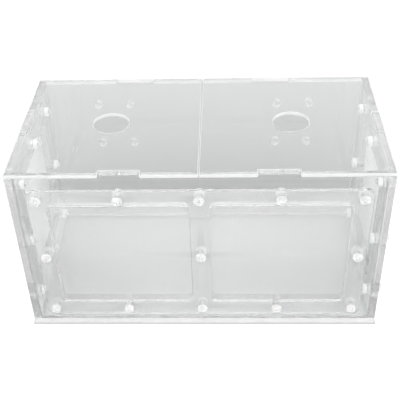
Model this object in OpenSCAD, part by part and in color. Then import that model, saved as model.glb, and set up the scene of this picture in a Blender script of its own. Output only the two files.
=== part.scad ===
// Clear acrylic fish breeding box: a glued tank of flat sheets, two loose half lids with finger holes,
// and clamp frames that hold fine nets over windows in the front and the sides.
// Millimetres, +Z up. The origin is the middle of the base's underside and the front faces -Y.

/* [Box] */
// Outside width of the tank, left to right
box_w = 200; // [160:1:300]
// Outside depth of the tank, front to back
box_d = 100; // [80:1:160]
// Overall height with the lids on
box_h = 108; // [80:1:160]
// Thickness of the base and of the four walls
sheet_t = 4; // [3:0.5:6]

/* [Lids] */
// Thickness of the lids
lid_t = 2; // [1.5:0.5:5]
// Gap between the two lids
lid_gap = 0.4; // [0.2:0.1:3]
// Diameter of the finger hole in each lid
finger_hole_d = 20; // [12:1:30]
// Width of the tabs on the front and back walls
long_tab_w = 21; // [10:1:30]
// Distance of those tabs from the middle of the box
long_tab_x = 41; // [30:1:50]
// Width of the tab on each side wall
side_tab_w = 18; // [10:1:30]
// Clearance between a tab and its notch, on every side
tab_gap = 0.3; // [0.2:0.1:1]

/* [Clamp frames] */
// Thickness of the clamp frames
frame_t = 2; // [1.5:0.5:4]
// Distance from a corner of the tank to the end of a frame
frame_end = 10; // [8:1:14]
// Height of a frame's lower edge above the ground
frame_low = 10; // [8:1:14]
// Distance from the top of the lids down to a frame's upper edge
frame_top = 8.7; // [6:0.1:14]
// Width of a frame's outer bars
bar_w = 10; // [8:0.5:12]
// Width of the bar between the two front windows
middle_bar_w = 11; // [8:0.5:16]
// Distance of the top screws below the middle of a frame's top bar
top_row_drop = 1; // [0:0.5:2]
// Corner radius of a frame
frame_r = 4; // [1:0.5:5]
// Corner radius of a window
window_r = 3; // [1:0.5:5]
// Thickness of the nets
net_t = 0.3; // [0.2:0.1:0.6]
// Distance from a frame's outer edge in to the edge of its net
net_inset = 0.5; // [0.25:0.25:1.5]

/* [Screws and nuts] */
// Thread diameter
thread_d = 3; // [2:0.5:3.5]
// Clearance on the diameter of the holes that the screws pass through
hole_gap = 0.4; // [0.2:0.1:0.8]
// Clearance on the diameter between a screw and its nut
thread_gap = 0.08; // [0.04:0.02:0.2]
// Diameter of the pan head
head_d = 5.6; // [4.5:0.1:7]
// Height of the pan head
head_h = 2.6; // [1.5:0.1:3]
// Length of thread that stands out past the nut
thread_past_nut = 1.3; // [0.5:0.1:3]
// Width of the cross slots in the head
slot_w = 0.7; // [0.5:0.1:1]
// Length of the cross slots
slot_l = 3.2; // [2:0.1:4]
// Depth of the cross slots
slot_deep = 1.3; // [0.6:0.1:1.4]
// Width of the nuts across their flats
nut_w = 5.5; // [4.5:0.1:7]
// Thickness of the nuts
nut_t = 2.4; // [1.5:0.1:3]

/* [Fixing holes in the back] */
// Diameter of the fixing holes
fix_d = 4.5; // [3:0.5:6]
// Distance between the holes of a group, left to right
fix_step_x = 20; // [12:1:30]
// Distance between the holes of a group, up and down
fix_step_z = 28; // [12:1:40]
// Distance of each group's centre from the middle of the box
fix_x = 55; // [40:1:60]
// Distance of each group's centre below the top of the lids
fix_down = 31; // [26:1:40]

/* [Hidden] */
$fn = 48;
// Amount by which a cut runs past the faces that it opens
past = 1;

// Heights of the walls and frames
wall_top = box_h - lid_t;
frame_high = box_h - frame_top;
frame_h = frame_high - frame_low;
frame_mid = (frame_high + frame_low) / 2;

// Lengths of the frames, and the half lengths of what they surround
front_frame_l = box_w - 2 * frame_end;
side_frame_l = box_d - 2 * frame_end;
window_h = frame_h - 2 * bar_w;
front_window_l = (front_frame_l - 2 * bar_w - middle_bar_w) / 2;
front_window_x = (middle_bar_w + front_window_l) / 2;
side_window_l = side_frame_l - 2 * bar_w;

// Centres of the screws: the bars' middle lines, except that the top row is lower, with one more screw
// halfway along each long bar
front_screw_x = (front_frame_l - bar_w) / 2;
side_screw_y = (side_frame_l - bar_w) / 2;
row_low = frame_low + bar_w / 2;
row_high = frame_high - bar_w / 2 - top_row_drop;
row_mid = (row_low + row_high) / 2;
front_long_row = [-front_screw_x, -front_screw_x / 2, 0, front_screw_x / 2, front_screw_x];
front_short_row = [-front_screw_x, 0, front_screw_x];
front_top = [for (x = front_long_row) [x, row_high]];
front_middle = [for (x = front_short_row) [x, row_mid]];
front_bottom = [for (x = front_long_row) [x, row_low]];
side_all = concat(
    [for (y = [-side_screw_y, 0, side_screw_y], z = [row_low, row_high]) [y, z]],
    [for (y = [-side_screw_y, side_screw_y]) [y, row_mid]]);

// Faces of the stack that each screw clamps: wall, net, frame, from the wall's inside outwards
net_out = net_t;
frame_out = net_t + frame_t;
screw_l = sheet_t + frame_out + nut_t + thread_past_nut;
hole_d = thread_d + hole_gap;
corner_fn = 64;

// Centres of the fixing holes
fix_z = box_h - fix_down;
fix_points = [for (side = [-1, 1], i = [-0.5, 0.5], j = [-0.5, 0.5])
    [side * fix_x + i * fix_step_x, fix_z + j * fix_step_z]];

// A rectangle with round corners, centred on the origin
module round_rect(l, h, r) {
    square([l - 2 * r, h], center = true);
    square([l, h - 2 * r], center = true);
    for (x = [-1, 1], y = [-1, 1])
        translate([x * (l / 2 - r), y * (h / 2 - r)]) circle(r = r, $fn = corner_fn);
}

// Screw holes at a list of points
module screw_holes(points) {
    for (p = points) translate(p) circle(d = hole_d, $fn = corner_fn);
}

module front_windows() {
    for (x = [-front_window_x, front_window_x])
        translate([x, frame_mid]) round_rect(front_window_l, window_h, window_r);
}

module side_window() {
    translate([0, frame_mid]) round_rect(side_window_l, window_h, window_r);
}

module front_cuts() {
    front_windows();
    screw_holes(concat(front_top, front_middle, front_bottom));
}

module side_cuts() {
    side_window();
    screw_holes(side_all);
}

// An upright sheet whose outline is drawn in X and Z, reaching from depth y back to y + t
module upright_x(y, t) {
    translate([0, y + t, 0]) rotate([90, 0, 0]) linear_extrude(t) children();
}

// An upright sheet whose outline is drawn in Y and Z, reaching from x to x + t
module upright_y(x, t) {
    translate([x, 0, 0]) rotate([90, 0, 90]) linear_extrude(t) children();
}

// Outline of the front and back walls, with the two tabs that locate the lids
module long_wall_outline() {
    half = box_w / 2 - sheet_t;
    translate([-half, sheet_t]) square([2 * half, wall_top - sheet_t]);
    for (x = [-long_tab_x, long_tab_x])
        translate([x - long_tab_w / 2, wall_top - past]) square([long_tab_w, lid_t + past]);
}

// Outline of the side walls, with their one tab
module side_wall_outline() {
    translate([-box_d / 2, sheet_t]) square([box_d, wall_top - sheet_t]);
    translate([-side_tab_w / 2, wall_top - past]) square([side_tab_w, lid_t + past]);
}

module base_panel() {
    color("aliceblue") translate([-box_w / 2, -box_d / 2, 0]) cube([box_w, box_d, sheet_t]);
}

module front_panel() {
    color("aliceblue") upright_x(-box_d / 2, sheet_t) difference() {
        long_wall_outline();
        front_cuts();
    }
}

module back_panel() {
    color("aliceblue") upright_x(box_d / 2 - sheet_t, sheet_t) difference() {
        long_wall_outline();
        for (p = fix_points) translate(p) circle(d = fix_d, $fn = corner_fn);
    }
}

module side_panel(x) {
    color("aliceblue") upright_y(x, sheet_t) difference() {
        side_wall_outline();
        side_cuts();
    }
}

module left_panel() { side_panel(-box_w / 2); }
module right_panel() { side_panel(box_w / 2 - sheet_t); }

// The right lid, with notches that clear the tabs; the left one is its mirror image
module half_lid() {
    lid_w = (box_w - lid_gap) / 2;
    notch = sheet_t + tab_gap;
    translate([lid_gap / 2, 0, wall_top]) linear_extrude(lid_t) difference() {
        translate([0, -box_d / 2]) square([lid_w, box_d]);
        translate([lid_w / 2, 0]) circle(d = finger_hole_d, $fn = 96);
        for (y = [-box_d / 2 - past, box_d / 2 - notch])
            translate([long_tab_x - lid_gap / 2 - long_tab_w / 2 - tab_gap, y])
                square([long_tab_w + 2 * tab_gap, notch + past]);
        translate([lid_w - notch, -side_tab_w / 2 - tab_gap])
            square([notch + past, side_tab_w + 2 * tab_gap]);
    }
}

module right_lid() { color("azure") half_lid(); }
module left_lid() { color("azure") mirror([1, 0, 0]) half_lid(); }

module front_frame() {
    color("lightcyan") upright_x(-box_d / 2 - frame_out, frame_t) difference() {
        translate([0, frame_mid]) round_rect(front_frame_l, frame_h, frame_r);
        front_cuts();
    }
}

module side_frame(x) {
    color("lightcyan") upright_y(x, frame_t) difference() {
        translate([0, frame_mid]) round_rect(side_frame_l, frame_h, frame_r);
        side_cuts();
    }
}

module left_frame() { side_frame(-box_w / 2 - frame_out); }
module right_frame() { side_frame(box_w / 2 + net_out); }

// The nets are plain sheets here, because their threads are finer than a millimetre
module front_net() {
    color("white") upright_x(-box_d / 2 - net_out, net_t) difference() {
        translate([0, frame_mid])
            square([front_frame_l - 2 * net_inset, frame_h - 2 * net_inset], center = true);
        screw_holes(concat(front_top, front_middle, front_bottom));
    }
}

module side_net(x) {
    color("white") upright_y(x, net_t) difference() {
        translate([0, frame_mid])
            square([side_frame_l - 2 * net_inset, frame_h - 2 * net_inset], center = true);
        screw_holes(side_all);
    }
}

module left_net() { side_net(-box_w / 2 - net_out); }
module right_net() { side_net(box_w / 2); }

// A pan-head screw along Z, its thread pointing down from the underside of the head at z = 0
module screw() {
    edge_h = head_h * 0.45;
    dome = head_h - edge_h;
    dome_r = (pow(head_d / 2, 2) + dome * dome) / (2 * dome);
    difference() {
        union() {
            translate([0, 0, -screw_l]) cylinder(d = thread_d, h = screw_l);
            intersection() {
                cylinder(d = head_d, h = head_h);
                translate([0, 0, head_h - dome_r]) sphere(r = dome_r, $fn = 96);
            }
        }
        for (a = [0, 90]) rotate(a)
            translate([-slot_l / 2, -slot_w / 2, head_h - slot_deep]) cube([slot_l, slot_w, slot_deep + past]);
    }
}

// A hexagon nut along Z, standing on z = 0 and growing downwards
module nut() {
    corner_d = nut_w / cos(30);
    difference() {
        translate([0, 0, -nut_t]) cylinder(d = corner_d, h = nut_t, $fn = 6);
        translate([0, 0, -nut_t - past]) cylinder(d = thread_d + thread_gap, h = nut_t + 2 * past);
    }
}

// Screws stand on a frame's outer face, and nuts on a wall's inner face. Each is turned a little
// further than the one before, as hand-driven screws are.
turn_step = 37;

module front_screws(points) {
    color("whitesmoke") for (i = [0 : len(points) - 1])
        translate([points[i][0], -box_d / 2 - frame_out, points[i][1]])
            rotate([90, 0, 0]) rotate(i * turn_step) screw();
}

module front_nuts(points) {
    color("whitesmoke") for (i = [0 : len(points) - 1])
        translate([points[i][0], -box_d / 2 + sheet_t, points[i][1]])
            rotate([90, 0, 0]) rotate(i * turn_step) nut();
}

// side is -1 for the left wall and 1 for the right one
module side_screws(side) {
    color("whitesmoke") for (i = [0 : len(side_all) - 1])
        translate([side * (box_w / 2 + frame_out), side_all[i][0], side_all[i][1]])
            rotate([0, side * 90, 0]) rotate(i * turn_step) screw();
}

module side_nuts(side) {
    color("whitesmoke") for (i = [0 : len(side_all) - 1])
        translate([side * (box_w / 2 - sheet_t), side_all[i][0], side_all[i][1]])
            rotate([0, side * 90, 0]) rotate(i * turn_step) nut();
}

module front_screws_top() { front_screws(front_top); }
module front_screws_middle() { front_screws(front_middle); }
module front_screws_bottom() { front_screws(front_bottom); }
module left_screws() { side_screws(-1); }
module right_screws() { side_screws(1); }
module front_nuts_top() { front_nuts(front_top); }
module front_nuts_middle() { front_nuts(front_middle); }
module front_nuts_bottom() { front_nuts(front_bottom); }
module left_nuts() { side_nuts(-1); }
module right_nuts() { side_nuts(1); }

base_panel();
front_panel();
back_panel();
left_panel();
right_panel();
left_lid();
right_lid();
front_frame();
left_frame();
right_frame();
front_net();
left_net();
right_net();
front_screws_top();
front_screws_middle();
front_screws_bottom();
left_screws();
right_screws();
front_nuts_top();
front_nuts_middle();
front_nuts_bottom();
left_nuts();
right_nuts();
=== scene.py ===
"""Dresses the clear fish breeding box: polished acrylic sheets with laser-cut edges, moulded clear screws
and nuts, and fine nylon nets, on a pale studio floor. Metres, +Z up, with the front facing -Y."""
import math

import bmesh
import bpy
import numpy as np
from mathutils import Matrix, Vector


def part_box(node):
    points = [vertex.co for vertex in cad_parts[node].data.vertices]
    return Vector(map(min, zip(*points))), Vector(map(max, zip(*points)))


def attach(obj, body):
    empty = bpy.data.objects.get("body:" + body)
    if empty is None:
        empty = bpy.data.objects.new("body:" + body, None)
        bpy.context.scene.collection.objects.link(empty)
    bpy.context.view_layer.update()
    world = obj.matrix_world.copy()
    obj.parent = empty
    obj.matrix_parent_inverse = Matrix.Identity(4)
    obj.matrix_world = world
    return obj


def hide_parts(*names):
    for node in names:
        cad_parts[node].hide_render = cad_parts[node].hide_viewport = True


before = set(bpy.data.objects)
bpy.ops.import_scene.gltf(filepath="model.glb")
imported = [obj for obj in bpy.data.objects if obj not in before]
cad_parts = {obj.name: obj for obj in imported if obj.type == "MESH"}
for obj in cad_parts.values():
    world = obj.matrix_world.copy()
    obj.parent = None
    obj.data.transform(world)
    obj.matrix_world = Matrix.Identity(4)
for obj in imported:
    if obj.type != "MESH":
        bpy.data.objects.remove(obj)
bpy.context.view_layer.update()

MM = 0.001

# Sizes that repeat the CAD model's
BAR_W = 10 * MM
TOP_ROW_DROP = 1 * MM
HEAD_R = 2.8 * MM
HEAD_H = 2.6 * MM
HEAD_EDGE_H = 1.17 * MM
THREAD_R = 1.5 * MM
SCREW_L = 10 * MM
SLOT_R = 1.6 * MM
SLOT_HALF_W = 0.38 * MM
SLOT_DEEP = 1.3 * MM
NUT_W = 5.5 * MM
NUT_T = 2.4 * MM
NUT_BORE_R = 1.54 * MM
HOLE_R = 1.7 * MM
TURN_STEP = math.radians(37)

# Finish sizes of the sheets
EDGE_ROUND = 0.2 * MM
LID_EDGE_ROUND = 0.35 * MM
SHARP_ANGLE = math.radians(40)
FLAT_ANGLE = math.radians(0.5)
GLUE_GAP = 0.02 * MM
MERGE_GAP = 0.001 * MM
# A face is square to an axis where that part of its normal is above this
SQUARE = 0.9999

# Finish sizes of the screws. The cross slot's floor has a share of the slot's reach at the top and dips in
# the middle. Its lip is rounded down and outward, and less inward.
SLOT_FLOOR_SHARE = 0.45
SLOT_LIP = 0.05 * MM
SLOT_LIP_INWARD = 0.02 * MM
SLOT_TIP_STEP = 0.02
SLOT_DIP = 0.1 * MM
# Rings between the slot and a circle on the dome, as shares of the way, then rings on the dome as shares of
# the head's radius, then rings round the rim and under it as shares of that radius and of the edge's height
NEAR_SLOT_END = 0.75 * HEAD_R
NEAR_SLOT_SHARES = (0.4, 0.75)
DOME_SHARES = (0.8, 0.9, 0.955)
RIM_SHARES = ((0.985, 0.96), (1.0, 0.85), (1.0, 0.14), (0.985, 0.04), (0.95, 0.0), (0.6, 0.0))
FASTENER_SHARP_ANGLE = math.radians(32)
THREAD_PITCH = 0.5 * MM
THREAD_DEEP = 0.28 * MM
THREAD_RINGS_PER_TURN = 4
THREAD_TIP_R = THREAD_R - 1.3 * THREAD_DEEP

# Finish sizes of the nuts and the nets
NUT_CORNERS = 48
NUT_FACE_R = 0.47 * NUT_W
NUT_SINK = 0.25 * MM
NUT_FALL = math.radians(30)
NET_PITCH = 0.42 * MM
NET_THREAD_R = 0.067 * MM
# How far each layer of threads lies off the net's middle, so that threads fuse where they cross
NET_LAYER_OFF = 0.75 * NET_THREAD_R

# Clear plastics
ACRYLIC_IOR = 1.49
PLASTIC_IOR = 1.53
SHEET_TINT = (0.965, 0.972, 0.972)
FRAME_TINT = (0.975, 0.98, 0.98)
# A broad face's amount of handling marks and its base roughness
WALL_FACE = (1.0, 0.006)
LID_FACE = (1.6, 0.008)
FRAME_FACE = (0.8, 0.008)
# A cut edge's shade, how clear it is, the share of light that it lets through and its base roughness
SHEET_EDGE = (0.95, 0.85, 0.1, 0.18)
FRAME_EDGE = (0.92, 0.95, 0.04, 0.16)
LID_EDGE = (0.88, 0.35, 0.18, 0.35)
BASE_EDGE = (0.96, 0.68, 0.12, 0.18)
BACK_EDGE = (0.96, 0.28, 0.24, 0.35)
# A moulded part: how clear it is, the share of light that it lets through, its base roughness and the depth
# of its skin
SCREW_SKIN = (0.62, 0.22, 0.13, 0.02 * MM)
NUT_SKIN = (0.12, 0.3, 0.3, 0.02 * MM)
NYLON_SKIN = (0.0, 0.3, 0.35, 0.01 * MM)

# How fine each pattern is, as the scale of its noise
SCRATCH_PATCHES = 45.0
SMEARS = 28.0
WAVINESS = 9.0
LASER_FINE = 2600.0
LASER_BROAD = 500.0
SKIN_FLOW = 700.0
SKIN_SPECKS = 4200.0
SOLVENT_RUNS = 160.0
# Each set of scratches: its turn, and how fine it is across them. Along them all sets have one scale.
SCRATCH_SETS = (((0.3, 0.5, 0.2), 900.0), ((1.2, -0.4, 1.1), 1300.0), ((-0.7, 1.0, -0.6), 1100.0))
ALONG_SCRATCH = 14.0
# What is left of a laser line's change through the sheet's thickness
THROUGH_SHEET = 0.02
# How deep the marks on a broad face and the lines on a cut edge are
MARKS_DEPTH = 0.02 * MM
LASER_DEPTH = 0.005 * MM
# A welded joint's grey, and how much its film hides where the solvent ran thin and thick
JOINT_GREY = 0.3
JOINT_FILM = (0.2, 0.34)

# The studio's light: a plain level all round, a broad soft area in front and a level soft strip behind.
# Each has the direction that it lies in, the cosines of the angles from there at which it fades out and is
# full, and how much it adds. The strip's height is given by the sines of the angles above and below its
# middle.
PLAIN_LEVEL = 0.96
FRONT_AREA = ((-0.1, -0.95, 0.3), 0.20, 0.95, 1.12)
BACK_STRIP = ((0.0, 0.84, 0.54), 0.35, 0.75, 0.2)
STRIP_ABOVE = (0.0, -0.54, 0.84)
STRIP_HEIGHTS = (0.09, 0.2)
# The brightest that acrylic mirrors or shows of it, so that no lid turns white where it mirrors the front
# area. What lights a net or another dull surface isn't limited.
MIRRORED_LEVEL = 1.2
LAMP_AT = (1.4, -0.3, 0.8)
LAMP_TOWARDS = (0, 0, 0.05)
LAMP_SIZE = (0.7, 0.9)
LAMP_WATTS = 3

# The floor: half its side, and how far it lies below the base
FLOOR_HALF = 3.0
FLOOR_DROP = 0.15 * MM
# Its own shade in front of and beside the box, and a painted shadow: a darker shade under and close behind
# it. The fades between them run along Y in front and behind, and along X at the sides.
OPEN_SHADE = 0.78
PAINTED_SHADOW_SHADE = 0.45
FRONT_FADE = (-0.06, 0.015)
SIDE_FADE = (0.09, 0.12)
BEHIND_FADE = (0.03, 0.1)
# Painted shade as well: further in front it is darker, and further behind it is lighter as the painted
# shadow fades out: from where, up to where and by how much
PAINTED_FLOOR_CHANGES = ((-0.052, -0.075, -0.22), (0.06, 0.28, 0.095))
# The camera sees a share of that, and a glow that makes the open floor white. Within the contact widths of
# the base the glow is weaker, which leaves a thin painted contact shadow there.
SEEN_SHARE = 0.35
FLOOR_GLOW = 0.84
PAINTED_CONTACT_SHADOW_GLOW = 0.3
PAINTED_CONTACT_SHADOW_WIDTHS = (0.6 * MM, 1.3 * MM)

# The camera, fitted to the corners of the box in the photograph, with its turn in degrees
CAMERA_AT = (0.01474, -0.36309, 0.33451)
CAMERA_TURN = (52.24143, 1.50864, 1.44591)
CAMERA_LENS = 68.88
SENSOR_W = 36


# Shader helpers

class Nodes:
    """A short way to add and join the nodes of one tree."""

    def __init__(self, tree):
        self.tree = tree

    def add(self, kind, **settings):
        """Adds a node and sets its options."""
        node = self.tree.nodes.new(kind)
        for key, value in settings.items():
            setattr(node, key, value)
        return node

    def put(self, value, socket):
        """Links an output socket to an input, or sets the input's own value."""
        if isinstance(value, bpy.types.NodeSocket):
            self.tree.links.new(value, socket)
        else:
            socket.default_value = value

    def math(self, operation, *values):
        """The result of one sum or comparison."""
        node = self.add("ShaderNodeMath", operation=operation)
        for value, socket in zip(values, node.inputs):
            self.put(value, socket)
        return node.outputs[0]

    def ramp(self, value, low, high, to_low=0.0, to_high=1.0):
        """Maps a value smoothly from the range low..high to the range to_low..to_high."""
        node = self.add("ShaderNodeMapRange", interpolation_type="SMOOTHSTEP")
        for key, number in zip(("From Min", "From Max", "To Min", "To Max"), (low, high, to_low, to_high)):
            node.inputs[key].default_value = number
        self.put(value, node.inputs["Value"])
        return node.outputs[0]

    def noise(self, vector, scale, detail=2.0):
        """Smooth noise around a half, read at the vector times the scale."""
        node = self.add("ShaderNodeTexNoise")
        node.inputs["Scale"].default_value = scale
        node.inputs["Detail"].default_value = detail
        self.put(vector, node.inputs["Vector"])
        return node.outputs[0]

    def stretched(self, vector, scale, turn=(0.0, 0.0, 0.0)):
        """The vector scaled along each axis and then turned."""
        node = self.add("ShaderNodeMapping")
        node.inputs["Rotation"].default_value = turn
        self.put(scale, node.inputs["Scale"])
        self.put(vector, node.inputs["Vector"])
        return node.outputs[0]


def new_group(name, inputs, outputs):
    """A shader node group with float or vector inputs and float outputs."""
    tree = bpy.data.node_groups.new(name, "ShaderNodeTree")
    for key, kind, value in inputs:
        socket = tree.interface.new_socket(key, in_out="INPUT", socket_type=kind)
        socket.default_value = value
    for key in outputs:
        tree.interface.new_socket(key, in_out="OUTPUT", socket_type="NodeSocketFloat")
    nodes = Nodes(tree)
    return nodes, nodes.add("NodeGroupInput"), nodes.add("NodeGroupOutput")


def handling_marks_group():
    """Hairline scratches in three directions and soft wiped smears, as on sheets that were peeled and
    handled. Each scratch set is noise stretched along one direction, kept only near its highest values."""
    g, given, made = new_group(
        "handling marks",
        [("Amount", "NodeSocketFloat", 1.0), ("Base Roughness", "NodeSocketFloat", 0.01)],
        ["Roughness", "Height"])
    place = g.add("ShaderNodeTexCoord").outputs["Object"]
    scratches = 0.0
    for turn, fine in SCRATCH_SETS:
        lines = g.noise(g.stretched(place, (fine, ALONG_SCRATCH, fine), turn), 1.0, detail=1.0)
        patches = g.ramp(g.noise(place, SCRATCH_PATCHES), 0.5, 0.62)
        thin = g.math("MULTIPLY", g.ramp(lines, 0.66, 0.74), patches)
        scratches = g.math("ADD", scratches, thin)
    smears = g.ramp(g.noise(place, SMEARS, detail=4.0), 0.42, 0.75)
    rough = g.math("ADD", g.math("MULTIPLY", scratches, 0.10), g.math("MULTIPLY", smears, 0.025))
    rough = g.math("MULTIPLY", rough, given.outputs["Amount"])
    g.put(g.math("ADD", rough, given.outputs["Base Roughness"]), made.inputs["Roughness"])
    waviness = g.math("MULTIPLY", g.noise(place, WAVINESS, detail=0.0), 0.6)
    height = g.math("SUBTRACT", waviness, g.math("MULTIPLY", scratches, 0.05))
    g.put(g.math("MULTIPLY", height, given.outputs["Amount"]), made.inputs["Height"])
    return g.tree


def laser_lines_group():
    """The fine ridges that a laser leaves across a cut edge: noise that varies along the edge and hardly at
    all through the sheet, because Across scales the sheet's thickness direction down to nearly nothing."""
    g, given, made = new_group(
        "laser lines",
        [("Across", "NodeSocketVector", (1.0, 1.0, 1.0)), ("Base Roughness", "NodeSocketFloat", 0.04)],
        ["Roughness", "Height"])
    place = g.add("ShaderNodeTexCoord").outputs["Object"]
    along = g.stretched(place, given.outputs["Across"])
    fine = g.noise(along, LASER_FINE)
    broad = g.noise(along, LASER_BROAD, detail=1.0)
    height = g.math("ADD", g.math("MULTIPLY", fine, 0.6), g.math("MULTIPLY", broad, 0.8))
    g.put(height, made.inputs["Height"])
    rough = g.math("MULTIPLY", g.ramp(broad, 0.3, 0.7), 0.08)
    g.put(g.math("ADD", rough, given.outputs["Base Roughness"]), made.inputs["Roughness"])
    return g.tree


def moulded_skin_group():
    """The slightly uneven skin of a small moulded part: soft flow waves and fine specks."""
    g, given, made = new_group(
        "moulded skin", [("Base Roughness", "NodeSocketFloat", 0.1)], ["Roughness", "Height", "Shade"])
    place = g.add("ShaderNodeTexCoord").outputs["Object"]
    flow = g.noise(place, SKIN_FLOW)
    specks = g.noise(place, SKIN_SPECKS, detail=1.0)
    height = g.math("ADD", g.math("MULTIPLY", flow, 0.8), g.math("MULTIPLY", specks, 0.2))
    g.put(height, made.inputs["Height"])
    rough = g.math("MULTIPLY", g.ramp(flow, 0.35, 0.7), 0.12)
    g.put(g.math("ADD", rough, given.outputs["Base Roughness"]), made.inputs["Roughness"])
    g.put(g.ramp(flow, 0.3, 0.7, 0.95, 0.99), made.inputs["Shade"])
    return g.tree


MARKS = handling_marks_group()
LASER = laser_lines_group()
SKIN = moulded_skin_group()


def new_material(name):
    """A new material, its tree's nodes and its Principled shader."""
    material = bpy.data.materials.new(name)
    material.use_nodes = True
    nodes = Nodes(material.node_tree)
    shader = material.node_tree.nodes["Principled BSDF"]
    return material, nodes, shader


def bumped(nodes, shader, height, distance):
    """Gives a shader's surface fine relief of the given depth."""
    bump = nodes.add("ShaderNodeBump")
    bump.inputs["Distance"].default_value = distance
    bump.inputs["Strength"].default_value = 1.0
    nodes.put(height, bump.inputs["Height"])
    nodes.put(bump.outputs[0], shader.inputs["Normal"])


def let_light_through(material, nodes, shader, tint, share):
    """Mixes in a share of the light that falls on the far side of a cloudy surface."""
    glow = nodes.add("ShaderNodeBsdfTranslucent")
    nodes.put(tint, glow.inputs["Color"])
    both = nodes.add("ShaderNodeMixShader")
    both.inputs[0].default_value = share
    nodes.put(shader.outputs[0], both.inputs[1])
    nodes.put(glow.outputs[0], both.inputs[2])
    nodes.put(both.outputs[0], material.node_tree.nodes["Material Output"].inputs["Surface"])


def polished_acrylic(name, tint, amount, base_roughness):
    """A sheet's broad face: clear, flat and glossy, with faint handling marks."""
    material, nodes, shader = new_material(name)
    marks = nodes.add("ShaderNodeGroup", node_tree=MARKS)
    marks.inputs["Amount"].default_value = amount
    marks.inputs["Base Roughness"].default_value = base_roughness
    shader.inputs["Base Color"].default_value = (*tint, 1.0)
    shader.inputs["Transmission Weight"].default_value = 1.0
    shader.inputs["IOR"].default_value = ACRYLIC_IOR
    nodes.put(marks.outputs["Roughness"], shader.inputs["Roughness"])
    bumped(nodes, shader, marks.outputs["Height"], MARKS_DEPTH)
    return material


def laser_cut_acrylic(name, thin_axis, shade, clearness, through, base_roughness):
    """A sheet's cut edge: a little frosted, with the laser's fine ridges running through its thickness."""
    material, nodes, shader = new_material(name)
    lines = nodes.add("ShaderNodeGroup", node_tree=LASER)
    across = [THROUGH_SHEET if axis == thin_axis else 1.0 for axis in range(3)]
    lines.inputs["Across"].default_value = across
    lines.inputs["Base Roughness"].default_value = base_roughness
    tint = (shade, shade, shade, 1.0)
    shader.inputs["Base Color"].default_value = tint
    shader.inputs["Transmission Weight"].default_value = clearness
    shader.inputs["IOR"].default_value = ACRYLIC_IOR
    nodes.put(lines.outputs["Roughness"], shader.inputs["Roughness"])
    bumped(nodes, shader, lines.outputs["Height"], LASER_DEPTH)
    let_light_through(material, nodes, shader, tint, through)
    return material


def welded_joint():
    """A joint that a solvent has fused, so that both sheets nearly read as one: a faint grey film, uneven
    where the solvent ran in."""
    material, nodes, shader = new_material("welded_joint")
    place = nodes.add("ShaderNodeTexCoord").outputs["Object"]
    film = nodes.ramp(nodes.noise(place, SOLVENT_RUNS), 0.35, 0.65, *JOINT_FILM)
    shader.inputs["Base Color"].default_value = (JOINT_GREY, JOINT_GREY, JOINT_GREY, 1.0)
    shader.inputs["Roughness"].default_value = 0.4
    nodes.put(film, shader.inputs["Alpha"])
    return material


def moulded_plastic(name, clearness, through, base_roughness, skin_depth):
    """A moulded plastic that lets light pass by being clear, and by being cloudy but thin."""
    material, nodes, shader = new_material(name)
    skin = nodes.add("ShaderNodeGroup", node_tree=SKIN)
    skin.inputs["Base Roughness"].default_value = base_roughness
    tint = nodes.add("ShaderNodeCombineColor")
    for socket in tint.inputs[:3]:
        nodes.put(skin.outputs["Shade"], socket)
    nodes.put(tint.outputs[0], shader.inputs["Base Color"])
    shader.inputs["Transmission Weight"].default_value = clearness
    shader.inputs["IOR"].default_value = PLASTIC_IOR
    nodes.put(skin.outputs["Roughness"], shader.inputs["Roughness"])
    bumped(nodes, shader, skin.outputs["Height"], skin_depth)
    let_light_through(material, nodes, shader, tint.outputs[0], through)
    return material


def new_piece(name, mesh, node, body):
    """An object at the origin that rides a body and stands for a CAD node."""
    piece = bpy.data.objects.new(name, mesh)
    bpy.context.scene.collection.objects.link(piece)
    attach(piece, body)
    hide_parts(node)
    return piece


# The sheets: merged copies of the flat CAD pieces with rounded edges

BASE_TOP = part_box("base_panel")[1].z
INSIDE_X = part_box("front_panel")[1].x
INSIDE_Y = -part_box("front_panel")[1].y


def is_welded(face):
    """Whether a face lies in a joint between two of the tank's five sheets: under the walls, or between the
    ends of a side wall and the front or back wall. Its offset from such a plane is its distance, plus how
    much its normal falls short of square to the plane."""
    near = 2 * GLUE_GAP
    middle = face.calc_center_median()
    off_base = abs(middle.z - BASE_TOP) + 1 - abs(face.normal.z)
    off_side = abs(abs(middle.x) - INSIDE_X) + 1 - abs(face.normal.x)
    past_x = abs(middle.x) > INSIDE_X
    past_y = abs(middle.y) > INSIDE_Y
    return (off_base < near and (past_x or past_y)) or (off_side < near and past_y)


def cut_at_joints(bm):
    """Cuts a sheet's faces along the walls' inside planes, and marks the parts that lie in a joint."""
    for inside in (Vector((INSIDE_X, 0, 0)), Vector((0, INSIDE_Y, 0))):
        for sign in (-1, 1):
            at = sign * inside
            outward = at.normalized()
            everything = bm.verts[:] + bm.edges[:] + bm.faces[:]
            bmesh.ops.bisect_plane(bm, geom=everything, dist=MERGE_GAP, plane_co=at, plane_no=outward)
    bm.normal_update()
    for face in bm.faces:
        face.material_index = 2 if is_welded(face) else 0


def draw_in(bm, gap):
    """Moves each vertex inward along its normal, by so much that every face moves in by the gap."""
    inward = [-vert.normal * vert.calc_shell_factor() * gap for vert in bm.verts]
    for vert, step in zip(bm.verts, inward):
        vert.co += step


def finish_faces(bm, thin_axis, welded):
    """Numbers each face's material: 0 on the broad faces, 2 in a joint and 1 on all others. Faces square to
    an axis are flat, and holes, corners and rounded edges are smooth."""
    for face in bm.faces:
        face.material_index = 0 if abs(face.normal[thin_axis]) > SQUARE else 1
        if welded and is_welded(face):
            face.material_index = 2
        face.smooth = max(abs(part) for part in face.normal) < SQUARE


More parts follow.
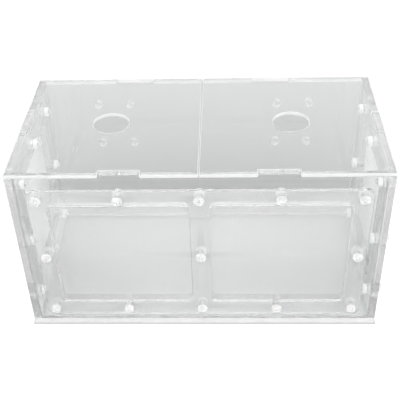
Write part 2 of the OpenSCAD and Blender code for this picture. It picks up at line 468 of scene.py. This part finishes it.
def sheet_copy(node, name, thin_axis, materials):
    """A merged copy of a flat CAD piece, drawn in by the glue gap on every side so that no two faces
    coincide, with its sharp edges rounded. The materials are for broad faces, cut edges and, where given,
    joints. They come first, because clearing a mesh's materials also clears what each face has."""
    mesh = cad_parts[node].data.copy()
    mesh.name = name
    mesh.materials.clear()
    for material in materials:
        mesh.materials.append(material)
    welded = len(materials) == 3
    bm = bmesh.new()
    bm.from_mesh(mesh)
    bmesh.ops.remove_doubles(bm, verts=bm.verts, dist=MERGE_GAP)
    if welded:
        cut_at_joints(bm)
    bmesh.ops.dissolve_limit(
        bm, angle_limit=FLAT_ANGLE, verts=bm.verts, edges=bm.edges, delimit={"MATERIAL"})
    bm.normal_update()
    draw_in(bm, GLUE_GAP)
    sharp = [edge for edge in bm.edges if edge.calc_face_angle(0.0) > SHARP_ANGLE]
    rounding = LID_EDGE_ROUND if node.endswith("lid") else EDGE_ROUND
    bmesh.ops.bevel(bm, geom=sharp, offset=rounding, segments=2, profile=0.5, affect="EDGES")
    bm.normal_update()
    finish_faces(bm, thin_axis, welded)
    bm.to_mesh(mesh)
    bm.free()
    return mesh


def clear_sheet(node, body, thin_axis, materials):
    """Stands a finished copy in for a flat CAD piece."""
    name = node + "_acrylic"
    mesh = sheet_copy(node, name, thin_axis, materials)
    new_piece(name, mesh, node, body)


def all_sheets():
    """The tank's panels, the lids and the frames. The base's and the back's edges are cloudier than the
    front's and the sides'."""
    thin_axes = {"base": 2, "front": 1, "back": 1, "left": 0, "right": 0}
    wall_faces = polished_acrylic("polished_sheet", SHEET_TINT, *WALL_FACE)
    lid_faces = polished_acrylic("polished_lid", SHEET_TINT, *LID_FACE)
    frame_faces = polished_acrylic("polished_frame", FRAME_TINT, *FRAME_FACE)
    lid_edge = laser_cut_acrylic("laser_cut_lid_edge", 2, *LID_EDGE)
    edge_x = laser_cut_acrylic("laser_cut_edge_x", 0, *SHEET_EDGE)
    panel_edges = {
        "base": laser_cut_acrylic("laser_cut_base_edge", 2, *BASE_EDGE),
        "front": laser_cut_acrylic("laser_cut_edge_y", 1, *SHEET_EDGE),
        "back": laser_cut_acrylic("laser_cut_back_edge", 1, *BACK_EDGE),
        "left": edge_x,
        "right": edge_x,
    }
    frame_edge_x = laser_cut_acrylic("laser_cut_frame_edge_x", 0, *FRAME_EDGE)
    frame_edges = {
        "front": laser_cut_acrylic("laser_cut_frame_edge_y", 1, *FRAME_EDGE),
        "left": frame_edge_x,
        "right": frame_edge_x,
    }
    joint = welded_joint()
    for side, edge in panel_edges.items():
        clear_sheet(side + "_panel", "box", thin_axes[side], (wall_faces, edge, joint))
    for side in ("left", "right"):
        clear_sheet(side + "_lid", side + "_lid", 2, (lid_faces, lid_edge))
    for side, edge in frame_edges.items():
        clear_sheet(side + "_frame", "box", thin_axes[side], (frame_faces, edge))


# Meshes from arrays

def mesh_from_arrays(name, points, quads, tris=None):
    """A mesh from arrays of points, four-cornered faces and, where given, three-cornered ones."""
    tris = np.zeros((0, 3), int) if tris is None else tris
    corners = np.concatenate([quads.ravel(), tris.ravel()]).astype(np.int32)
    sizes = np.concatenate([np.full(len(quads), 4), np.full(len(tris), 3)]).astype(np.int32)
    starts = np.concatenate([[0], np.cumsum(sizes)[:-1]]).astype(np.int32)
    mesh = bpy.data.meshes.new(name)
    mesh.vertices.add(len(points))
    mesh.vertices.foreach_set("co", np.asarray(points, np.float32).ravel())
    mesh.loops.add(len(corners))
    mesh.loops.foreach_set("vertex_index", corners)
    mesh.polygons.add(len(sizes))
    mesh.polygons.foreach_set("loop_start", starts)
    mesh.polygons.foreach_set("use_smooth", np.ones(len(sizes), bool))
    mesh.update(calc_edges=True)
    mesh.validate()
    return mesh


def ring_quads(rows, columns, closed=False):
    """The quads of a grid whose rows are rings of points, numbered ring by ring. A closed grid's last ring
    also joins its first, as on a torus."""
    row = np.arange(rows if closed else rows - 1)[:, None]
    column = np.arange(columns)[None, :]
    after_row = (row + 1) % rows
    after_column = (column + 1) % columns
    corners = [row * columns + column, row * columns + after_column,
               after_row * columns + after_column, after_row * columns + column]
    return np.stack(corners, axis=-1).reshape(-1, 4)


def polar_points(radius, angle, height):
    """Rings of points from their radius and height, each given for every ring and angle."""
    radius, height = np.broadcast_arrays(radius, height)
    return np.stack([radius * np.cos(angle), radius * np.sin(angle), height], axis=-1)


def copies(points, quads, tris, places):
    """The same shape set down at each place, which is a turn about its own axis, an orientation and a
    point."""
    all_points, all_quads, all_tris = [], [], []
    for number, (turn, facing, at) in enumerate(places):
        cos = math.cos(turn)
        sin = math.sin(turn)
        turned = points @ np.array([[cos, sin, 0], [-sin, cos, 0], [0, 0, 1]])
        all_points.append(turned @ facing + at)
        all_quads.append(quads + number * len(points))
        all_tris.append(tris + number * len(points))
    return np.concatenate(all_points), np.concatenate(all_quads), np.concatenate(all_tris)


# Fasteners

# Each facing has, row by row, where a fastener's own X, Y and Z point. Its Z points out of the wall.
FACINGS = {
    "front": np.array([[1, 0, 0], [0, 0, 1], [0, -1, 0]], float),
    "left": np.array([[0, 0, 1], [0, 1, 0], [-1, 0, 0]], float),
    "right": np.array([[0, 0, -1], [0, 1, 0], [1, 0, 0]], float),
}


def fastener_rows():
    """The two coordinates of every fastener in each row, along the wall and up, worked out from the
    frames."""
    front_low, front_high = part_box("front_frame")
    x_end = front_high.x - BAR_W / 2
    y_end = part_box("left_frame")[1].y - BAR_W / 2
    low = front_low.z + BAR_W / 2
    high = front_high.z - BAR_W / 2 - TOP_ROW_DROP
    middle = (low + high) / 2
    long_row = [-x_end, -x_end / 2, 0.0, x_end / 2, x_end]
    side = [(y, z) for y in (-y_end, 0.0, y_end) for z in (low, high)]
    side += [(y, middle) for y in (-y_end, y_end)]
    return {
        "front_top": [(x, high) for x in long_row],
        "front_middle": [(x, middle) for x in (-x_end, 0.0, x_end)],
        "front_bottom": [(x, low) for x in long_row],
        "side": side,
    }


ROWS = fastener_rows()
# The planes that the screw heads and the nuts stand on
HEAD_PLANE = {
    "front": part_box("front_frame")[0].y,
    "left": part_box("left_frame")[0].x,
    "right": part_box("right_frame")[1].x,
}
NUT_PLANE = {
    "front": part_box("front_panel")[1].y,
    "left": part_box("left_panel")[1].x,
    "right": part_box("right_panel")[0].x,
}


def fastener_places(row, wall, plane):
    """A turn, an orientation and a point for each fastener of a row. Each is turned a little further."""
    places = []
    for number, (along, up) in enumerate(ROWS[row]):
        at = (along, plane, up) if wall == "front" else (plane, along, up)
        places.append((number * TURN_STEP, FACINGS[wall], np.array(at)))
    return places


def cross_angles():
    """Angles round a head, with one at every corner of its cross slots: the arms' tips, where the tip's
    edge meets the arm's side, and the inner corners halfway between the arms."""
    tip = math.atan2(SLOT_HALF_W, SLOT_R)
    inner = math.pi / 4
    side = [inner + share * (tip - inner) for share in (0.0, 0.38, 0.7)]
    side += [tip + SLOT_TIP_STEP, tip, tip / 2]
    arm = [-angle for angle in side] + [0.0] + side[:0:-1]
    return np.concatenate([np.array(arm) + quarter * math.pi / 2 for quarter in range(4)])


def cross_radius(angle):
    """How far a cross slot reaches from the centre at each angle: the tip's straight edge within the arm,
    and the arm's straight side outside it."""
    folded = np.abs((angle + math.pi / 4) % (math.pi / 2) - math.pi / 4)
    tip = math.atan2(SLOT_HALF_W, SLOT_R)
    by_tip = SLOT_R / np.cos(folded)
    by_side = SLOT_HALF_W / np.maximum(np.sin(folded), 1e-6)
    return np.where(folded <= tip + 1e-9, by_tip, by_side)


def dome_height(radius):
    """Height of the pan head's top: a ball of such a radius that it meets the head's edge at its rim's
    height."""
    dome = HEAD_H - HEAD_EDGE_H
    ball = (HEAD_R ** 2 + dome ** 2) / (2 * dome)
    return HEAD_H - ball + np.sqrt(np.maximum(ball ** 2 - radius ** 2, 0))


def head_rings(angle):
    """Radius and height of each ring of a head, from the bottom of the cross slot up its tapered walls,
    over the dome, down the rim and under the head."""
    slot = cross_radius(angle)
    flat = np.ones_like(angle)
    rings = [(SLOT_FLOOR_SHARE * slot, (HEAD_H - SLOT_DEEP) * flat),
             (slot - SLOT_LIP_INWARD, dome_height(slot) - SLOT_LIP),
             (slot + SLOT_LIP, dome_height(slot + SLOT_LIP))]
    for share in NEAR_SLOT_SHARES:
        radius = slot + share * (NEAR_SLOT_END - slot)
        rings.append((radius, dome_height(radius)))
    for share in DOME_SHARES:
        rings.append((share * HEAD_R * flat, dome_height(share * HEAD_R) * flat))
    for share, height in RIM_SHARES:
        rings.append((share * HEAD_R * flat, height * HEAD_EDGE_H * flat))
    return rings


def thread_rings(angle):
    """Radius and height of each ring of a thread. Its radius is a trapezoid wave of height and angle
    together, which winds it into a helix, and the wave fades in under the head and out at the tip."""
    flat = np.ones_like(angle)
    step = THREAD_PITCH / THREAD_RINGS_PER_TURN
    rings = []
    for height in -np.arange(1, int(SCREW_L / step)) * step:
        phase = (height / THREAD_PITCH - angle / (2 * math.pi)) % 1.0
        wave = np.clip(4 * np.abs(phase - 0.5) - 0.5, 0, 1)
        fade = min(1.0, -height / (2 * step), (SCREW_L + height) / (3 * step))
        rings.append((THREAD_R - THREAD_DEEP * (1 - wave * fade), height * flat))
    rings.append((THREAD_TIP_R * flat, -SCREW_L * flat))
    return rings


def screw_shape():
    """One pan-head screw along Z with its head's underside at z = 0: the head's rings and then the
    thread's, joined into one skin and closed by a fan of triangles at each end."""
    angle = cross_angles()
    rings = head_rings(angle) + thread_rings(angle)
    radius = np.array([ring[0] for ring in rings])
    height = np.array([ring[1] for ring in rings])
    points = polar_points(radius, angle, height).reshape(-1, 3)
    count = len(angle)
    ends = np.array([[0, 0, HEAD_H - SLOT_DEEP - SLOT_DIP], [0, 0, -SCREW_L]])
    quads = ring_quads(len(rings), count)[:, ::-1]
    column = np.arange(count)
    after = (column + 1) % count
    last = (len(rings) - 1) * count
    top = np.stack([np.full(count, len(points)), column, after], axis=-1)
    tip = np.stack([np.full(count, len(points) + 1), last + after, last + column], axis=-1)
    return np.concatenate([points, ends]), quads, np.concatenate([top, tip])


def nut_shape():
    """One hexagon nut hanging below z = 0. At each angle its section is a closed ring: the bore, a small
    countersink, the flat face, and an outer side as far out as the hexagon is there. Where the hexagon
    reaches past the chamfer circle, the faces fall away, which gives the curved corner facets."""
    angle = np.arange(NUT_CORNERS) * (2 * math.pi / NUT_CORNERS)
    folded = (angle + math.pi / 6) % (math.pi / 3) - math.pi / 6
    hexagon = (NUT_W / 2) / np.cos(math.pi / 6 - np.abs(folded))
    flat = np.ones_like(angle)
    face = np.minimum(NUT_FACE_R, hexagon)
    fall = np.maximum(hexagon - NUT_FACE_R, 0) * math.tan(NUT_FALL)
    bore = NUT_BORE_R * flat
    sunk = (NUT_BORE_R + NUT_SINK) * flat
    rings = [(bore, -NUT_SINK * flat), (sunk, 0 * flat), (face, 0 * flat), (hexagon, -fall),
             (hexagon, -NUT_T + fall), (face, -NUT_T * flat), (sunk, -NUT_T * flat),
             (bore, (-NUT_T + NUT_SINK) * flat)]
    radius = np.array([ring[0] for ring in rings])
    height = np.array([ring[1] for ring in rings])
    points = polar_points(radius, angle, height).reshape(-1, 3)
    quads = ring_quads(len(rings), len(angle), closed=True)[:, ::-1]
    return points, quads, np.zeros((0, 3), int)


def fastener_group(node, shape, row, wall, plane, material):
    """A row of screws or nuts as one mesh, in which each is a closed skin."""
    points, quads, tris = copies(*shape, fastener_places(row, wall, plane))
    name = node + "_moulded"
    mesh = mesh_from_arrays(name, points, quads, tris)
    mesh.set_sharp_from_angle(angle=FASTENER_SHARP_ANGLE)
    mesh.materials.append(material)
    new_piece(name, mesh, node, "box")


def all_fasteners():
    """The screws outside each wall, and the nuts inside it, a glue gap off the wall."""
    clear = moulded_plastic("clear_screw_plastic", *SCREW_SKIN)
    cloudy = moulded_plastic("cloudy_nut_plastic", *NUT_SKIN)
    screw = screw_shape()
    nut = nut_shape()
    for level in ("top", "middle", "bottom"):
        row = "front_" + level
        fastener_group("front_screws_" + level, screw, row, "front", HEAD_PLANE["front"], clear)
        fastener_group("front_nuts_" + level, nut, row, "front", NUT_PLANE["front"] + GLUE_GAP, cloudy)
    for wall, outward in (("left", -1), ("right", 1)):
        fastener_group(wall + "_screws", screw, "side", wall, HEAD_PLANE[wall], clear)
        fastener_group(wall + "_nuts", nut, "side", wall, NUT_PLANE[wall] - outward * GLUE_GAP, cloudy)


# Nets

def thread_lengths(middles, low, high, holes):
    """The stretches of parallel threads between low and high, cut where they would cross a screw hole.
    Holes are (across, along) centres, and a thread is cut by the chord that the hole's circle takes from
    it."""
    clear_r = HOLE_R + 2 * NET_THREAD_R
    stretches = []
    for middle in middles:
        start = low
        for across, along in sorted(holes, key=lambda hole: hole[1]):
            off = abs(middle - across)
            if off < clear_r:
                chord = math.sqrt(clear_r ** 2 - off ** 2)
                stretches.append((middle, start, along - chord))
                start = along + chord
        stretches.append((middle, start, high))
    return np.array([s for s in stretches if s[2] - s[1] > NET_THREAD_R])


def thread_prisms(stretches, depth, swap):
    """Every stretch as a capped prism of diamond section: four long edges, each one thread radius from the
    thread's line, either in the net's plane or square to it. Points are (across, depth, up), and swap lays
    the threads across and not up."""
    r = NET_THREAD_R
    ring = np.array([[r, 0], [0, r], [-r, 0], [0, -r]])
    count = len(stretches)
    points = np.zeros((count, 2, 4, 3))
    points[..., 0] = stretches[:, 0, None, None] + ring[None, None, :, 0]
    points[..., 1] = depth + ring[None, None, :, 1]
    points[:, 0, :, 2] = stretches[:, 1, None]
    points[:, 1, :, 2] = stretches[:, 2, None]
    first = 8 * np.arange(count)[:, None, None]
    corner = np.arange(4)
    after = (corner + 1) % 4
    sides = np.stack([corner, after, after + 4, corner + 4], axis=-1)[None]
    caps = np.array([[[3, 2, 1, 0], [4, 5, 6, 7]]])
    quads = (np.concatenate([sides, caps], axis=1) + first).reshape(-1, 4)
    points = points.reshape(-1, 3)
    if swap:
        points = points[:, [2, 1, 0]]
        quads = quads[:, ::-1]
    return points, quads


def net(node, wall, row_names, material):
    """A flat net of straight threads, uprights in one layer and level ones in the next, fused where they
    cross. It spans its CAD solid's box and leaves the screw holes free."""
    low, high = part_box(node)
    flat_axis = 1 if wall == "front" else 0
    along_axis = 1 - flat_axis
    holes = [point for name in row_names for point in ROWS[name]]
    edge = NET_THREAD_R
    across = np.arange(low[along_axis] + edge, high[along_axis] - edge, NET_PITCH)
    heights = np.arange(low.z + edge, high.z - edge, NET_PITCH)
    middle = (low[flat_axis] + high[flat_axis]) / 2
    uprights = thread_lengths(across, low.z, high.z, holes)
    swapped = [(up, along) for along, up in holes]
    levels = thread_lengths(heights, low[along_axis], high[along_axis], swapped)
    upright_points, upright_quads = thread_prisms(uprights, middle - NET_LAYER_OFF, swap=False)
    level_points, level_quads = thread_prisms(levels, middle + NET_LAYER_OFF, swap=True)
    points = np.concatenate([upright_points, level_points])
    quads = np.concatenate([upright_quads, level_quads + len(upright_points)])
    if wall != "front":
        points = points[:, [1, 0, 2]]
        quads = quads[:, ::-1]
    name = node + "_threads"
    mesh = mesh_from_arrays(name, points, quads)
    mesh.materials.append(material)
    piece = new_piece(name, mesh, node, "box")


def all_nets():
    """The three nets, all of one nylon."""
    nylon = moulded_plastic("nylon_thread", *NYLON_SKIN)
    net("front_net", "front", ["front_top", "front_middle", "front_bottom"], nylon)
    net("left_net", "left", ["side"], nylon)
    net("right_net", "right", ["side"], nylon)


# Studio

def floor_shade_and_painted_shadow(nodes, x, y):
    """The floor's shade at each place: the open shade in front, and beside the box where that isn't behind
    it, and elsewhere, under and behind the box, a darker shade that is a painted shadow. The painted
    changes further out make it darker in front and lighter behind."""
    in_front = nodes.ramp(y, *FRONT_FADE, 1.0, 0.0)
    not_behind = nodes.ramp(y, *BEHIND_FADE, 1.0, 0.0)
    beside = nodes.ramp(nodes.math("ABSOLUTE", x), *SIDE_FADE)
    at_side = nodes.math("MULTIPLY", beside, not_behind)
    open_floor = nodes.math("MAXIMUM", at_side, in_front)
    # Painted shadow: the floor's colour runs down to a darker shade under and close behind the box
    shade = nodes.ramp(open_floor, 0.0, 1.0, PAINTED_SHADOW_SHADE, OPEN_SHADE)
    for near, far, added in PAINTED_FLOOR_CHANGES:
        shade = nodes.math("ADD", shade, nodes.ramp(y, near, far, 0.0, added))
    return shade


def floor_glow_and_contact_shadow(nodes, x, y):
    """The glow that the camera sees on the floor, weaker close to the base, where that paints a thin
    contact shadow. How far a place is off the base is the larger of how far it is out along X and along Y."""
    base_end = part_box("base_panel")[1]
    out_x = nodes.math("SUBTRACT", nodes.math("ABSOLUTE", x), base_end.x)
    out_y = nodes.math("SUBTRACT", nodes.math("ABSOLUTE", y), base_end.y)
    off_base = nodes.math("MAXIMUM", out_x, out_y)
    # Painted contact shadow: the glow drops in a thin line round the base
    return nodes.ramp(off_base, *PAINTED_CONTACT_SHADOW_WIDTHS, PAINTED_CONTACT_SHADOW_GLOW, FLOOR_GLOW)


def pale_floor():
    """The acrylic shows the floor as it is lit, over a colour that holds a painted shadow under and behind
    the box. The camera sees it white, with a faint shadow that is partly lit and partly painted, and a thin
    painted contact shadow where the base meets it."""
    material, nodes, shader = new_material("pale_floor")
    split = nodes.add("ShaderNodeSeparateXYZ")
    nodes.put(nodes.add("ShaderNodeTexCoord").outputs["Object"], split.inputs[0])
    x = split.outputs["X"]
    y = split.outputs["Y"]
    # The base colour carries the painted shadow under and behind the box
    nodes.put(floor_shade_and_painted_shadow(nodes, x, y), shader.inputs["Base Color"])
    shader.inputs["Roughness"].default_value = 0.9
    shader.inputs["Specular IOR Level"].default_value = 0.1
    glow = nodes.add("ShaderNodeEmission")
    nodes.put(floor_glow_and_contact_shadow(nodes, x, y), glow.inputs["Strength"])
    dimmed = nodes.add("ShaderNodeMixShader")
    dimmed.inputs[0].default_value = SEEN_SHARE
    nodes.put(shader.outputs[0], dimmed.inputs[2])
    bright = nodes.add("ShaderNodeAddShader")
    nodes.put(dimmed.outputs[0], bright.inputs[0])
    nodes.put(glow.outputs[0], bright.inputs[1])
    path = nodes.add("ShaderNodeLightPath")
    choice = nodes.add("ShaderNodeMixShader")
    nodes.put(path.outputs["Is Camera Ray"], choice.inputs[0])
    nodes.put(shader.outputs[0], choice.inputs[1])
    nodes.put(bright.outputs[0], choice.inputs[2])
    nodes.put(choice.outputs[0], material.node_tree.nodes["Material Output"].inputs["Surface"])
    return material


def studio_floor():
    """One large square just below the base."""
    ends = ((-1, -1), (1, -1), (1, 1), (-1, 1))
    mesh = bpy.data.meshes.new("studio_floor")
    mesh.from_pydata([(x * FLOOR_HALF, y * FLOOR_HALF, -FLOOR_DROP) for x, y in ends], [], [(0, 1, 2, 3)])
    mesh.materials.append(pale_floor())
    floor = bpy.data.objects.new("studio_floor", mesh)
    bpy.context.scene.collection.objects.link(floor)


def studio_world():
    """A soft studio with a broad bright area in front and a level bright strip behind, and white where the
    camera looks past the object. What lies above the mirrored level is taken off where a ray has met gloss
    or passed through a clear piece, and no dull surface."""
    world = bpy.data.worlds.new("studio")
    bpy.context.scene.world = world
    world.use_nodes = True
    nodes = Nodes(world.node_tree)
    background = world.node_tree.nodes["Background"]
    direction = nodes.add("ShaderNodeTexCoord").outputs["Generated"]

    def along(axis):
        """The cosine of the angle between the direction looked in and an axis."""
        towards = nodes.add("ShaderNodeVectorMath", operation="DOT_PRODUCT")
        nodes.put(direction, towards.inputs[0])
        towards.inputs[1].default_value = Vector(axis).normalized()
        return towards.outputs["Value"]

    front, fade, full, added = FRONT_AREA
    level = nodes.math("ADD", PLAIN_LEVEL, nodes.ramp(along(front), fade, full, 0.0, added))
    back, fade, full, added = BACK_STRIP
    off_middle = nodes.math("ABSOLUTE", along(STRIP_ABOVE))
    in_strip = nodes.ramp(off_middle, *STRIP_HEIGHTS, 1.0, 0.0)
    strip = nodes.math("MULTIPLY", in_strip, nodes.ramp(along(back), fade, full, 0.0, added))
    level = nodes.math("ADD", level, strip)
    path = nodes.add("ShaderNodeLightPath")
    past_gloss = nodes.math("MAXIMUM", path.outputs["Is Glossy Ray"], path.outputs["Is Transmission Ray"])
    mirrored = nodes.math("GREATER_THAN", past_gloss, path.outputs["Diffuse Depth"])
    too_bright = nodes.math("SUBTRACT", level, nodes.math("MINIMUM", level, MIRRORED_LEVEL))
    level = nodes.math("SUBTRACT", level, nodes.math("MULTIPLY", too_bright, mirrored))
    nodes.put(nodes.math("MAXIMUM", level, path.outputs["Is Camera Ray"]), background.inputs["Strength"])
    background.inputs["Color"].default_value = (1, 1, 1, 1)


def studio_lamp():
    """A weak lamp at the right, turned to face the box."""
    light = bpy.data.lights.new("side", "AREA")
    light.shape = "RECTANGLE"
    light.size, light.size_y = LAMP_SIZE
    light.energy = LAMP_WATTS
    lamp = bpy.data.objects.new("side", light)
    bpy.context.scene.collection.objects.link(lamp)
    lamp.location = LAMP_AT
    lamp.rotation_euler = (Vector(LAMP_TOWARDS) - Vector(LAMP_AT)).to_track_quat("-Z", "Y").to_euler()


def camera():
    """A camera where the photograph was taken from."""
    data = bpy.data.cameras.new("camera")
    data.lens = CAMERA_LENS
    data.sensor_width = SENSOR_W
    data.sensor_fit = "HORIZONTAL"
    data.clip_start = 0.01
    eye = bpy.data.objects.new("camera", data)
    bpy.context.scene.collection.objects.link(eye)
    eye.location = CAMERA_AT
    eye.rotation_euler = [math.radians(angle) for angle in CAMERA_TURN]
    bpy.context.scene.camera = eye


def studio():
    """The camera, floor, light and lamp, and enough bounces for light to pass all the clear sheets."""
    camera()
    studio_floor()
    studio_world()
    studio_lamp()
    scene = bpy.context.scene
    scene.view_settings.view_transform = "Standard"
    scene.cycles.blur_glossy = 0.0
    scene.cycles.max_bounces = 96
    scene.cycles.transmission_bounces = 64
    scene.cycles.glossy_bounces = 64
    scene.cycles.diffuse_bounces = 10


studio()
all_sheets()
all_fasteners()
all_nets()
